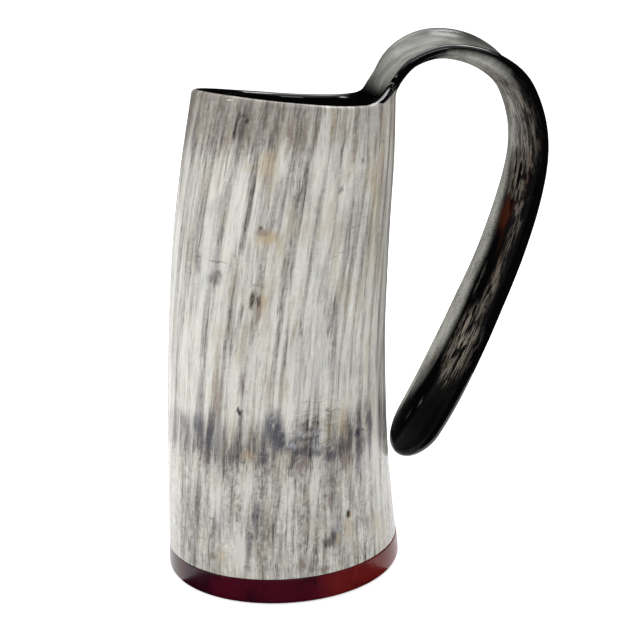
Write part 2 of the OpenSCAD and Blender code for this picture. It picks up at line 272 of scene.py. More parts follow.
def square_to(form, p, q, step_p, step_q):
    """The direction square to a form at p and q, taken from points a little way to either side."""
    across = form(p + step_p, q) - form(p - step_p, q)
    return across.cross(form(p, q + step_q) - form(p, q - step_q)).normalized()


# Making the pieces

def draw_out(bm, edges, place):
    """Extrudes an open line of edges and puts each new point where place says."""
    made = bmesh.ops.extrude_edge_only(bm, edges=edges)["geom"]
    fresh = {g for g in made if isinstance(g, bmesh.types.BMVert)}
    for v in fresh:
        place(v)
    return [g for g in made if isinstance(g, bmesh.types.BMEdge) and set(g.verts) <= fresh]


def fibre_place(a, z, run):
    """Where the fibres put a point: they climb the wall with a slow twist and run on along the strap."""
    r = wall_radius(z)
    turned = a - FIBRE_TWIST * z
    return Vector((r * cos(turned), r * sin(turned), run))


def free_line(edges):
    """The points of a closed line of edges, in order."""
    start, v = edges[0].verts
    line, left = [start], set(edges) - {edges[0]}
    while v is not start:
        line.append(v)
        edge = next(e for e in v.link_edges if e in left)
        left.remove(edge)
        v = edge.other_vert(v)
    return line


def runs(line, reach=2.0):
    """For each point of a closed line, the direction of the line over a reach on either side."""
    count = len(line)
    spots = [v.co.copy() for v in line] * 3
    far = [0]
    for p, q in zip(spots, spots[1:]):
        far.append(far[-1] + (q - p).length)

    def at(d):
        i = bisect(far, d) - 1
        return spots[i].lerp(spots[i + 1], (d - far[i]) / (far[i + 1] - far[i]))

    return [at(far[k + count] + reach) - at(far[k + count] - reach) for k in range(count)]


def horn_piece():
    """One sheet drawn up from a ring at the foot into the strap, then given two faces and a lip."""
    bm = bmesh.new()
    column = bm.verts.layers.int.new("column")
    half = bm.verts.layers.float.new("half")
    middle = bm.verts.layers.float_vector.new("middle")
    straight = bm.verts.layers.float_vector.new("straight")
    edgeways = bm.verts.layers.float_vector.new("edgeways")
    fibre = bm.verts.layers.float_vector.new("fibre")
    strap = bm.verts.layers.float.new("strap")
    depth = bm.verts.layers.float.new("depth")

    def on_wall(share):
        def place(v):
            a = column_angle(v[column])
            z = HORN_FOOT + (rim_height(a) - HORN_FOOT) * share
            v.co = wall_middle(a, z)
            v[half] = wall_thickness(z) / 2
            v[fibre] = fibre_place(a, z, z)
            v[straight] = square_to(wall_middle, a, z, TURN_STEP, PLACE_STEP)
        return place

    def on_strap(row):
        def place(v):
            y, d = strap_place(row, v[column])
            v.co = strap_middle(y, d)
            v[straight] = square_to(strap_middle, y, d, PLACE_STEP, PLACE_STEP)
            v[half] = strap_thickness(row[0]) / 2
            under = rim_height(round_wall(y))
            v[fibre] = fibre_place(round_wall(y), under, under + d)
            v[strap] = d
        return place

    bmesh.ops.create_circle(bm, cap_ends=False, segments=WALL_COLUMNS, radius=FOOT_D / 2)
    for j, v in enumerate(bm.verts):
        v[column] = j
        on_wall(0)(v)
    ring = bm.edges[:]
    for i in range(1, WALL_ROWS + 1):
        ring = draw_out(bm, ring, on_wall(i / WALL_ROWS))
    line = [e for e in ring if all(v[column] <= STRAP_COLUMNS for v in e.verts)]
    for row in strap_rows():
        line = draw_out(bm, line, on_strap(row))

    for v in bm.verts:
        v[middle] = v.co
        if abs(v.co.z - HORN_FOOT) < WELD:
            v[straight] = Vector((v[straight].x, v[straight].y, 0)).normalized()
    free = [e for e in bm.edges if e.is_boundary and min(v.co.z for v in e.verts) > HORN_FOOT + WELD]
    line = free_line(free)
    for v, run in zip(line, runs(line)):
        out = v[straight].cross(run).normalized()
        inside = sum((f.calc_center_median() for f in v.link_faces), Vector()) / len(v.link_faces)
        v[edgeways] = out if out.dot(v.co - inside) > 0 else -out

    outer = bm.faces[:]
    copied = bmesh.ops.duplicate(bm, geom=bm.verts[:] + bm.edges[:] + outer)["geom"]
    inner_verts = {g for g in copied if isinstance(g, bmesh.types.BMVert)}
    bmesh.ops.reverse_faces(bm, faces=[g for g in copied if isinstance(g, bmesh.types.BMFace)])
    for v in bm.verts:
        side = -1 if v in inner_verts else 1
        v.co = v[middle] + side * v[half] * v[straight]
        v[depth] = 1 if v in inner_verts else 0

    foot = [e for e in bm.edges if e.is_boundary and e not in free
            and max(v.co.z for v in e.verts) < HORN_FOOT + WELD]
    for s in range(1, LIP_STEPS + 1):
        def round_lip(v, a=pi * s / LIP_STEPS):
            v.co = v[middle] + v[half] * (cos(a) * v[straight] + sin(a) * v[edgeways])
            v[depth] = a / pi
        free = draw_out(bm, free, round_lip)
    bmesh.ops.remove_doubles(bm, verts=bm.verts, dist=WELD)
    bmesh.ops.bridge_loops(bm, edges=foot)
    bmesh.ops.recalc_face_normals(bm, faces=bm.faces)
    bm.normal_update()
    # hand scraping leaves the faces a little uneven, always inwards of the true form
    for v in bm.verts:
        away = min(1, max(0, (v.co.z - HORN_FOOT) / SCRAPE_START))
        x, y, run = v[fibre]
        place = Vector((x / SCRAPE_WIDTH, y / SCRAPE_WIDTH, run / SCRAPE_LENGTH + 7 * v[depth]))
        v.co -= v.normal * (SCRAPE_DEPTH * (0.5 + 0.5 * noise.noise(place)) * away)
    return bm


def turned_piece(profile):
    """A piece turned on the lathe from its half outline, which starts and ends on the axis or closes."""
    bm = bmesh.new()
    points = [bm.verts.new((r, 0, z)) for r, z in profile]
    pairs = list(zip(points, points[1:]))
    if profile[0][0] > 0:
        pairs.append((points[-1], points[0]))
    edges = [bm.edges.new(pair) for pair in pairs]
    bmesh.ops.spin(bm, geom=points + edges, cent=(0, 0, 0), axis=(0, 0, 1), angle=2 * pi,
                   steps=LATHE_STEPS, use_merge=True, use_duplicate=False)
    bmesh.ops.remove_doubles(bm, verts=bm.verts, dist=WELD)
    bmesh.ops.recalc_face_normals(bm, faces=bm.faces)
    return bm


def put_in_scene(bm, name, finish):
    mesh = bpy.data.meshes.new(name)
    bm.to_mesh(mesh)
    bm.free()
    mesh.materials.append(finish)
    piece = bpy.data.objects.new(name, mesh)
    bpy.context.scene.collection.objects.link(piece)
    return piece


def finished(bm, name, finish, node, sharp=35):
    """Smooths a piece, brings it to metres and puts it in the place of its CAD node."""
    for f in bm.faces:
        f.smooth = True
    for e in bm.edges:
        e.smooth = e.calc_face_angle(0) < radians(sharp)
    bmesh.ops.scale(bm, vec=(MM, MM, MM), verts=bm.verts)
    piece = put_in_scene(bm, name, finish)
    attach(piece, "root")
    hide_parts(node)


def bore(z):
    return wall_radius(z) - wall_thickness(z) - wall_flat(z) - abs(wall_lean(z))


PLUG_TOP = BAND_HEIGHT + PLUG_HEIGHT
PLUG_R = bore(PLUG_TOP) - JOINT_WIDTH


def arc(cx, cz, r, start, end, steps):
    """Points on an arc of a half outline, from one angle to another in degrees."""
    return [(cx + r * cos(radians(start + (end - start) * k / steps)),
             cz + r * sin(radians(start + (end - start) * k / steps))) for k in range(steps + 1)]


def base_profile():
    foot, top = FOOT_D / 2, wall_radius(HORN_FOOT)
    shares = [k / SIDE_STEPS for k in range(1, SIDE_STEPS + 1)]
    side = [(foot + (top - foot) * share + BAND_SWELL * sin(pi * share),
             BAND_EDGE + (BAND_HEIGHT - BASE_CORNER - BAND_EDGE) * share) for share in shares]
    return ([(0, 0), (foot - BAND_EDGE - FOOT_UNDERCUT, 0)]
            + arc(foot - BAND_EDGE, BAND_EDGE, BAND_EDGE, -88, 0, CORNER_STEPS) + side
            + arc(top - BASE_CORNER, BAND_HEIGHT - BASE_CORNER, BASE_CORNER, 25, 90, 4)
            + [(PLUG_R, BAND_HEIGHT), (PLUG_R, PLUG_TOP), (0, PLUG_TOP)])


def glue_profile():
    r = wall_radius(HORN_FOOT) - GLUE_RECESS
    sleeve = bore(PLUG_TOP) - WALL_GAP
    return [(PLUG_R + FIT_GAP, BAND_HEIGHT), (r, BAND_HEIGHT),
            (r - GLUE_DIP, (BAND_HEIGHT + HORN_FOOT) / 2), (r, HORN_FOOT),
            (sleeve, HORN_FOOT), (sleeve, PLUG_TOP), (PLUG_R + FIT_GAP, PLUG_TOP)]


def seal_profile():
    top = PLUG_TOP + SEAL_THICKNESS
    r = bore(top + SEAL_FILLET) - WALL_GAP
    return ([(0, PLUG_TOP), (r, PLUG_TOP), (r, top + SEAL_FILLET)]
            + [(r - SEAL_FILLET * (1 - cos(a)), top + SEAL_FILLET * (1 - sin(a)))
               for a in (pi / 2 * k / CORNER_STEPS for k in range(1, CORNER_STEPS + 1))] + [(0, top)])


# Finishes

def tint(red, green, blue):
    """A colour as a painter names it, 0 to 255, made linear for the shader."""
    return tuple(((c / 255 + 0.055) / 1.055) ** 2.4 if c > 10 else c / 255 / 12.92
                 for c in (red, green, blue)) + (1,)


class Tone:
    """One socket of a finish's nodes, so that masks are written as sums and products."""

    def __init__(self, tree, socket=None):
        self.tree, self.socket = tree, socket

    def node(self, kind, settings=None, sockets=None, out=0):
        """The output of a new node: its settings come first, then the values or links of its sockets."""
        made = self.tree.nodes.new("ShaderNode" + kind)
        for name, value in (settings or {}).items():
            if name == "stops":
                ramp = made.color_ramp
                while len(ramp.elements) < len(value):
                    ramp.elements.new(0.5)
                for element, (place, colour) in zip(ramp.elements, value):
                    element.position = place
                    element.color = colour
            else:
                setattr(made, name, value)
        for name, value in (sockets or {}).items():
            if isinstance(value, Tone):
                self.tree.links.new(value.socket, made.inputs[name])
            else:
                made.inputs[name].default_value = value
        return Tone(self.tree, made.outputs[out]) if len(made.outputs) else None

    def math(self, how, *values):
        return self.node("Math", {"operation": how}, dict(enumerate(values)))

    def vector(self, how, *values, out=0):
        return self.node("VectorMath", {"operation": how}, dict(enumerate(values)), out)

    def __add__(self, other):
        return self.math("ADD", self, other)

    def __radd__(self, other):
        return self.math("ADD", other, self)

    def __sub__(self, other):
        return self.math("SUBTRACT", self, other)

    def __rsub__(self, other):
        return self.math("SUBTRACT", other, self)

    def __mul__(self, other):
        return self.math("MULTIPLY", self, other)

    def __rmul__(self, other):
        return self.math("MULTIPLY", other, self)


def fade(value, low, high, most=1.0):
    """0 below low, most above high, and smooth between; low may be the larger."""
    return value.node("MapRange", {"interpolation_type": "SMOOTHSTEP"},
                      {"Value": value, "From Min": low, "From Max": high, "To Min": 0.0, "To Max": most})


def mixed(share, first, second):
    """The first colour, with a share of the second over it, by the colour sockets of a Mix node."""
    return share.node("Mix", {"data_type": "RGBA"}, {0: share, 6: first, 7: second}, 2)


def grain(place, scale, detail=3.0, rough=0.5, warp=0.0, out=0):
    """Noise whose cells measure scale, a size or three, in the units of the place."""
    stretch = tuple(1 / s for s in (scale if isinstance(scale, tuple) else (scale,) * 3))
    sockets = {"Vector": place.vector("MULTIPLY", place, stretch), "Scale": 1.0,
               "Detail": detail, "Roughness": rough, "Distortion": warp}
    return place.node("TexNoise", {"noise_dimensions": "3D"}, sockets, out)


def shifted(place, by):
    """The place moved, so that two patterns on it don't fall together."""
    return place.vector("ADD", place, by)


def new_finish(name):
    finish = bpy.data.materials.new(name)
    finish.use_nodes = True
    finish.node_tree.nodes.clear()
    return finish, Tone(finish.node_tree)


def surface(bench, sockets, relief=None, height=0.0001):
    """Ends a finish: the shader with its sockets, and the relief as bump of a height in metres."""
    if relief is not None:
        sockets["Normal"] = bench.node("Bump", {}, {"Height": relief, "Distance": height, "Strength": 1.0})
    shader = bench.node("BsdfPrincipled", {}, sockets)
    bench.node("OutputMaterial", {}, {"Surface": shader})


# Marks on the wall: across in mm from the middle of the front, height, half width, half height, strength
CREAM_STREAKS = [
    (-43, 138, 2.2, 26, 0.7), (-45, 90, 1.6, 34, 0.5), (44.5, 110, 1.6, 40, 0.7), (40, 106, 0.9, 22, 0.5),
    (-36, 122, 1.2, 26, 0.5), (-25, 125, 1.6, 22, 0.8), (-16, 126, 2.0, 17, 0.9),
    (-12, 108, 1.4, 14, 0.7), (-1, 145, 2.0, 6, 0.7), (10.8, 146, 2.2, 13, 1.0), (15, 124, 2.0, 13, 0.8),
    (-2.5, 112, 2.0, 10, 0.5), (-33, 92, 1.3, 14, 0.5), (-18, 95, 2.2, 16, 0.6), (-5, 84, 1.8, 16, 0.7),
    (-13.5, 72, 1.7, 17, 0.85), (-22, 74, 1.5, 14, 0.6), (-28.8, 70, 1.2, 16, 0.7),
    (-8, 70, 1.5, 17, 0.7), (5.6, 74, 1.8, 18, 0.95), (11, 98, 2.4, 14, 0.7), (7, 108, 1.2, 14, 0.5),
    (21.5, 92, 1.0, 18, 0.6), (28, 80, 1.4, 22, 0.7), (34, 95, 2.2, 20, 0.7), (-28, 47, 1.5, 4, 0.6),
    (-8.5, 43, 2.0, 7, 0.6), (12, 40, 1.3, 12, 0.7), (-12, 17, 2.0, 8, 0.8), (-38, 45, 1.2, 14, 0.6),
    (38, 40, 2.4, 26, 0.7), (-19, 36, 2.6, 5, 0.5), (4, 38, 1.6, 6, 0.5), (33.5, 70, 0.8, 16, 0.5),
    (10, 22, 1.0, 9, 0.5)]
GREY_STREAKS = [
    (-28.5, 128, 1.5, 18, 0.5), (-32, 118, 0.9, 16, 0.35), (-20, 127, 1.7, 12, 0.8),
    (-10.6, 129, 0.9, 12, 0.8), (-5.3, 131, 0.9, 10, 0.5), (-38.5, 78, 0.9, 17, 0.6),
    (-30.5, 101, 1.5, 7, 0.5), (-24.3, 92, 1.2, 13, 0.8), (-13.8, 98, 1.1, 14, 0.7),
    (-9.8, 88, 0.9, 12, 0.7), (-25.4, 69, 1.2, 9, 0.7), (-15.5, 62, 0.7, 9, 0.5),
    (5.4, 122, 0.7, 18, 0.7), (1.8, 108, 1.0, 8, 0.6), (9.6, 109, 0.5, 10, 0.6),
    (24.6, 104, 1.0, 15, 0.75), (18, 96, 1.6, 6, 0.6), (2.8, 80, 0.6, 15, 0.7), (0, 82, 0.8, 12, 0.5),
    (30.8, 76, 0.8, 20, 0.4), (41.6, 124, 1.3, 26, 0.6), (42.2, 92, 1.2, 22, 0.6), (-27, 30, 1.7, 9, 0.7),
    (-32.5, 32, 2.2, 6, 0.6), (-3, 27, 1.8, 6, 0.7), (-29, 16, 1.4, 8, 0.6), (28, 24, 2.6, 4, 0.6),
    (25, 33, 1.2, 5, 0.6), (-20, 24, 1.2, 6, 0.4), (18, 42, 1.8, 6, 0.7), (28.5, 45, 1.4, 7, 0.7),
    (-5, 14, 1.1, 4, 0.6), (28, 13, 3.4, 2.2, 0.5), (0.8, 40, 0.7, 9, 0.5), (34.8, 50, 0.6, 6, 0.7),
    (-35, 40, 0.8, 9, 0.5)]
BLUE_DARK = [
    (-26.5, 58.5, 2.4, 3.6, 0.7), (-21.4, 56.5, 1.1, 6.5, 0.6), (-33.5, 58.5, 1.2, 3.0, 0.5),
    (-30.6, 55, 0.8, 7, 0.5), (-24.6, 53, 2.6, 3.6, 0.4), (-18, 52, 2.4, 6, 0.45),
    (-12.6, 52.5, 1.3, 6.5, 0.5), (-3, 58.5, 1.3, 6, 0.5), (-0.6, 60.5, 2.6, 5.2, 0.85),
    (0.6, 58.5, 1.9, 5.4, 1.0), (1.8, 55.6, 2.0, 3.6, 1.0), (4.2, 53.4, 2.2, 1.6, 0.85),
    (7.8, 51.8, 2.8, 1.3, 0.75), (12.8, 50.3, 3.0, 1.4, 0.7), (17.8, 48.5, 2.8, 1.6, 0.75),
    (22, 50.5, 2.6, 2.6, 0.55), (29, 53.6, 1.5, 1.3, 0.8), (33.6, 56.8, 1.4, 1.9, 0.7),
    (32.8, 61.5, 0.7, 3.2, 0.6), (36, 54, 0.8, 2.5, 0.6), (30, 49, 2.6, 4, 0.4),
    (-6.4, 31, 0.9, 4.6, 0.8), (-9, 20.5, 0.9, 5.5, 0.5), (-39.6, 151, 1.2, 5.5, 0.6),
    (-3.6, 50.5, 1.4, 4, 0.5), (-17.5, 46.5, 2.2, 3.5, 0.4), (-28.6, 111.5, 1.6, 2.8, 0.5),
    (8.5, 55.4, 2.8, 0.7, 0.5)]
BROWN_MARKS = [
    (41.8, 126, 0.9, 22, 0.75), (42.4, 92, 0.8, 20, 0.8), (38.6, 140, 0.7, 14, 0.4),
    (0.2, 150.5, 0.8, 5, 0.7), (4.6, 150, 0.8, 5, 0.6), (8.9, 151.5, 0.8, 4.5, 0.75),
    (23.6, 146, 1.4, 3.2, 0.55), (33.4, 146, 1.1, 4, 0.55), (20.4, 121.5, 2.4, 5, 0.4),
    (-18, 68, 1.2, 7.5, 0.75), (-10.4, 74.5, 0.8, 3, 0.6), (8, 47, 1.9, 3.4, 0.65),
    (23.6, 46.5, 2.0, 3.4, 0.65), (-24, 49, 1.4, 2.2, 0.5), (-22, 15, 1.4, 1.8, 0.7),
    (6.5, 13.5, 1.0, 2.8, 0.8), (9.5, 13, 0.8, 3, 0.7), (31, 21.5, 0.9, 2.2, 0.6), (6, 31, 0.9, 1.6, 0.5),
    (-5.6, 97, 1.0, 3.4, 0.7), (18.6, 153.5, 1.0, 4, 0.4), (-5.6, 122.5, 2.0, 1.3, 0.7),
    (17, 33, 0.9, 2.8, 0.8), (-1.2, 46.5, 1.4, 2.4, 0.45), (36.4, 152, 1.6, 5, 0.4),
    (13.2, 10.8, 1.8, 0.9, 0.8)]
TAN_MARKS = [
    (-6.5, 143.5, 2.6, 3.6, 0.6), (-12.6, 142, 1.6, 1.6, 0.45), (-3.8, 120.6, 3.4, 2.0, 0.95),
    (-0.6, 118.5, 1.0, 2.4, 0.6), (-4.2, 100.6, 1.4, 2.0, 0.85), (37.8, 141, 1.8, 5.5, 0.5),
    (34.5, 135.5, 4.2, 5, 0.45), (37, 127, 3.0, 6, 0.4), (-8.4, 51, 1.7, 1.8, 0.5),
    (22.4, 60, 1.7, 5, 0.6), (23, 22.5, 1.7, 3.4, 0.55), (18.6, 20, 1.2, 1.8, 0.6),
    (36, 20.5, 2.6, 3, 0.5), (-18, 15.5, 1.4, 2.2, 0.5), (39.5, 15, 2, 4, 0.35),
    (14.6, 154, 0.8, 4, 0.45), (36, 128, 3.4, 24, 0.4)]
DARK_KNOTS = [
    (-18.6, 153.6, 0.55, 4.2, 0.95), (-17.8, 157.4, 0.5, 1.2, 0.7), (-16.2, 157.8, 1.6, 0.4, 0.7),
    (-14.5, 156.2, 0.55, 0.9, 0.9), (-16.2, 153.5, 1.1, 3.6, 0.45), (-21.2, 107.4, 2.5, 2.1, 0.55),
    (-19.4, 109.2, 1.3, 1.1, 0.6), (-22.6, 106.4, 1.0, 0.9, 0.5), (-7.6, 101.6, 0.9, 2.6, 0.95),
    (-5.6, 101, 0.7, 2.2, 0.8), (-11, 65.2, 1.0, 1.0, 1.0), (-10.6, 62.4, 0.6, 2.4, 0.6),
    (15.6, 19.6, 2.0, 1.5, 0.75), (17.2, 21.6, 1.0, 2.0, 0.8), (19, 133.8, 0.9, 0.9, 0.55),
    (27.1, 141.8, 0.5, 0.9, 0.6), (28.4, 53.6, 0.6, 0.6, 0.8), (31.2, 53.8, 0.9, 0.45, 0.7),
    (-6.4, 123.6, 0.5, 0.7, 0.7)]
CRACKS = [
    (-20.6, 112.9, 2.8, 0.28, 0.9), (-28.9, 113.6, 1.7, 0.25, 0.6), (-34, 113.7, 1.8, 0.22, 0.5),
    (-6.8, 105.9, 1.9, 0.4, 0.6), (16.9, 64.0, 0.7, 0.4, 0.9), (18.8, 63.6, 2.2, 0.2, 0.9),
    (20.9, 62.9, 0.8, 0.3, 0.7), (10, 67.9, 1.2, 0.2, 0.6), (13.2, 67.0, 1.5, 0.2, 0.6),
    (0.2, 97.2, 0.22, 2.2, 0.8), (1.3, 93.6, 0.22, 2.2, 0.7), (25, 121.8, 1.1, 0.25, 0.7),
    (17.6, 112.8, 1.2, 0.2, 0.6), (20.4, 114, 1.4, 0.2, 0.6), (22.8, 125.6, 1.6, 0.15, 0.5),
    (-16.2, 157.6, 1.7, 0.22, 0.8), (9, 55.5, 3.4, 0.25, 0.6), (17, 53.6, 3.0, 0.22, 0.5),
    (12.5, 61.6, 2.6, 0.16, 0.45), (24.5, 33.6, 1.6, 0.2, 0.4), (29, 29.6, 3, 0.2, 0.5),
    (7, 30, 2, 0.18, 0.4)]
LAYERED = [(13, 60, 8, 7, 1.0), (28, 114, 6, 4, 0.35), (-30, 112, 9, 3.5, 0.35), (24, 14, 8, 3, 0.4)]
BLUE_PALE = [
    (5.4, 53.6, 1.2, 0.9, 0.7), (10, 57.2, 4.2, 0.7, 0.4), (15.5, 52.3, 3.4, 0.5, 0.35),
    (-6.5, 127, 2.4, 3, 0.4)]
# a small pit: its hole is painted shade, and its lit right wall a painted highlight
PIT = [(23.0, 27.3, 0.6, 1.3, 1.0)]
PIT_LIT_WALL = [(23.75, 27.0, 0.3, 1.0, 0.9)]
# Marks on the strap: across from its middle, distance from the root, half width, half length, strength
STRAP_GREY = [
    (-7, 68, 7.5, 26, 0.8), (-12, 98, 2.6, 14, 0.5), (-11.8, 124, 2.6, 12, 0.6),
    (-8.6, 146.5, 6.6, 12.5, 0.95), (-8.2, 150, 5.4, 9, 1.0), (-2, 172, 0.6, 2.2, 0.6),
    (2, 177, 0.6, 2.2, 0.5), (-3, 124, 1.2, 6, 0.4)]
# painted reflection on the strap's face towards the cup, partly the horn's own grey
STRAP_GREY_AND_SHEEN = [
    (2, 34, 15, 15, 1.0), (6, 56, 13, 27, 1.0), (9.4, 95, 9.4, 36, 1.0), (11.2, 130, 8.8, 36, 1.0),
    (15, 162, 4.0, 17, 1.0), (-8, 40, 7, 12, 0.9)]
# painted reflection on the top face of the arch
ARCH_SHEEN_MARKS = [(2, 22, 15, 23, 1.0), (9, 66, 8, 36, 0.7)]
STRAP_BROWN = [
    (-5.0, 99, 3.2, 5.4, 1.0), (-8.6, 96, 1.2, 2.4, 0.5), (-10.5, 116, 0.7, 7, 0.35),
    (-7.4, 108, 0.8, 6, 0.3), (4.6, 156, 0.9, 4.0, 0.6), (-12.6, 86, 1.0, 6, 0.25)]


# Noise patterns of the horn: where each starts, the size of its cells in mm, detail, roughness, warp
PATTERNS = {
    "sway": ((0, 0, 0), (9, 9, 26), 2, 0.5, 0),
    "broad": ((0, 0, 0), (3, 3, 70), 3, 0.5, 0),
    "narrow": ((31, 7, 5), (1, 1, 26), 3, 0.55, 0),
    "hair": ((3, 41, 9), (0.3, 0.3, 4), 3, 0.65, 0),
    "drawn": ((17, 23, 3), (2, 2, 34), 2, 0.6, 0),
    "slow": ((0, 0, 13), (9, 9, 24), 2, 0.5, 0),
    "mottle": ((5, 0, 3), (1.5, 1.5, 2.4), 5, 0.65, 0.8),
    "warmth": ((11, 3, 80), (5, 5, 16), 3, 0.55, 0),
    "ragged": ((1, 2, 40), (0.7, 0.7, 8), 3, 0.6, 0),
    "wisp": ((7, 2, 0), (2.8, 2.8, 0.9), 3, 0.55, 0.4),
    "wobble": ((2, 9, 4), (1.8, 1.8, 2.6), 4, 0.65, 0),
    "bend": ((6, 6, 6), (2.6, 2.6, 5), 3, 0.5, 0),
    "fleck": ((3, 1, 2), (0.8, 0.8, 7), 5, 0.7, 0),
    "gaps": ((9, 5, 1), (2.2, 2.2, 8), 3, 0.5, 0),
    "scratch": ((1, 8, 6), (3.4, 3.4, 0.25), 3, 0.65, 0),
    "cloudy": ((4, 8, 6), (4, 4, 9), 3, 0.5, 0)}
# How far in mm the fibres sway, and how the flecks' place moves from the strap's outside to its inside
SWAY, EDGE_TURN, STRAP_SHIFT = (1.8, 1.8, 8), (5, -5, 0), 7
# Zones of the wall: the heights, or the places across, over which each one fades in
TOP_ZONE, TOP_SIDE, FOOT_ZONE, RING_HEIGHT, RING_ZONE = (141, 152), (-12, -3), (58, 44), 54, (11, 3)
# The wall's tone runs from 0 dark to 1 pale: its middle, and how far patterns, zones and streaks move it
MIDDLE_TONE, BROAD, NARROW, SLOW, MOTTLE = 0.63, 0.34, 0.17, 0.34, 0.52
HAIR, WISP, DRAWN, LAYERS = 0.40, 0.18, 0.22, 0.42
TOP_DARK, FOOT_DARK, RING_DARK, CREAM_TONE, CREAM, GREY = 0.25, 0.03, 0.24, 0.94, 0.80, 0.44

# Colours of the horn, as red, green and blue from 0 to 255
WALL_SHADES = [(0.0, (54, 50, 51)), (0.25, (110, 106, 103)), (0.5, (169, 166, 160)),
               (0.72, (201, 199, 192)), (1.0, (221, 221, 213))]
WARM, COOL, SMOKY = (176, 164, 142), (152, 153, 158), (136, 126, 114)
TAN, BROWN, SLATE, MILKY = (176, 156, 122), (112, 92, 84), (52, 54, 70), (190, 193, 202)
# the pit's two colours are painted shade and a painted highlight
KNOT, CRACK, PIT_SHADE, PIT_HIGHLIGHT_AMBER = (34, 30, 32), (74, 68, 70), (30, 20, 14), (150, 104, 50)
# the strap's pale grey is a painted reflection, partly the horn's own grey
BLACK_HORN, GREY_HORN_AND_SHEEN, DEEP_BLACK, LINING = (6, 6, 8), (196, 195, 188), (5, 5, 6), (7, 7, 8)
# the arch's grey is a painted reflection
FLECK_GREY, FOX_BROWN, ARCH_SHEEN_GREY = (156, 146, 134), (76, 34, 19), (140, 141, 135)


def leaned(marks):
    """Marks given upright, moved onto the leaning fibres."""
    return [(x - LEAN_ACROSS * y, y, *rest) for x, y, *rest in marks]


def marked(spot, marks, soft=0.5):
    """The strongest of some soft-edged oval marks, whose places are across and up: 0 outside them all."""
    found = None
    for x, y, wide, tall, strength in marks:
        inward = spot.vector("MULTIPLY_ADD", spot, (1 / wide, 1 / tall, 0), (-x / wide, -y / tall, 0))
        reach = spot.vector("LENGTH", inward, out="Value")
        mark = fade(reach, 1 + soft, 1 - soft, strength)
        found = mark if found is None else spot.math("MAXIMUM", found, mark)
    return found


def pattern(place, name, out=0):
    """One of the horn's noise patterns at a place."""
    start, cells, detail, rough, warp = PATTERNS[name]
    return grain(shifted(place, start) if any(start) else place, cells, detail, rough, warp, out)


def swing(tone, by):
    """A pattern as a shift to either side of nothing, by so much from end to end."""
    return by * (tone - 0.5)


def spot(across, up):
    return across.node("CombineXYZ", {}, {"X": across, "Y": up, "Z": 0.0})


def horn_ground(bench):
    """Where a point lies on the horn, in mm, and the patterns that the wall and the strap share."""
    on = SimpleNamespace()
    on.place = bench.node("Attribute", {"attribute_name": "fibre"}, out="Vector")
    on.depth = bench.node("Attribute", {"attribute_name": "depth"}, out="Fac")
    on.strap = bench.node("Attribute", {"attribute_name": "strap"}, out="Fac")
    on.height = bench.node("SeparateXYZ", {}, {"Vector": on.place}, "Z")
    ahead, aside = (bench.vector("DOT_PRODUCT", on.place, (x, y, 0), out="Value")
                    for x, y in ((cos(FRONT), sin(FRONT)), (-sin(FRONT), cos(FRONT))))
    on.across = PATTERN_RADIUS * bench.math("ARCTAN2", aside, ahead)
    on.swayed = on.place.vector("MULTIPLY_ADD", pattern(on.place, "sway", "Color"), SWAY, on.place)
    on.narrow = pattern(on.swayed, "narrow")
    on.hair = pattern(on.swayed, "hair")
    on.mottle = pattern(on.place, "mottle")
    on.ragged = pattern(on.place, "ragged")
    return on


def wall_tone(bench, on, long_spot, small_spot, top, foot):
    """How pale the wall is, from 0 to 1: streaks along its fibres, a dark ring and a darker top."""
    slow, wisp = pattern(on.place, "slow"), pattern(on.place, "wisp")
    off_ring = on.height + swing(on.ragged, 12.0) + swing(slow, 12.0) - RING_HEIGHT
    ring = fade(bench.math("ABSOLUTE", off_ring), *RING_ZONE)
    drawn = fade(bench.math("ABSOLUTE", pattern(on.swayed, "drawn") - 0.5), 0.05, 0.008)
    drawn = drawn * fade(on.ragged + on.mottle, 0.9, 1.1)
    calm = 1 - 0.3 * top - 0.25 * foot
    broad = fade(pattern(on.swayed, "broad"), 0.36, 0.62)
    streaks = swing(broad, BROAD) + swing(fade(on.narrow, 0.34, 0.66), NARROW)
    tone = streaks * calm + MIDDLE_TONE
    tone = tone + swing(slow, SLOW) + (on.mottle - 0.5) * (MOTTLE + 0.5 * foot + 0.05 * top)
    tone = tone - TOP_DARK * top - FOOT_DARK * foot - RING_DARK * ring
    tone = tone + (CREAM_TONE - tone) * CREAM * marked(long_spot, leaned(CREAM_STREAKS), 0.4)
    tone = tone - tone * GREY * marked(long_spot, leaned(GREY_STREAKS), 0.5)
    tone = tone + swing(on.hair, HAIR) + swing(wisp, WISP) - DRAWN * drawn
    return tone + swing(wisp, LAYERS) * marked(small_spot, leaned(LAYERED), 0.7)


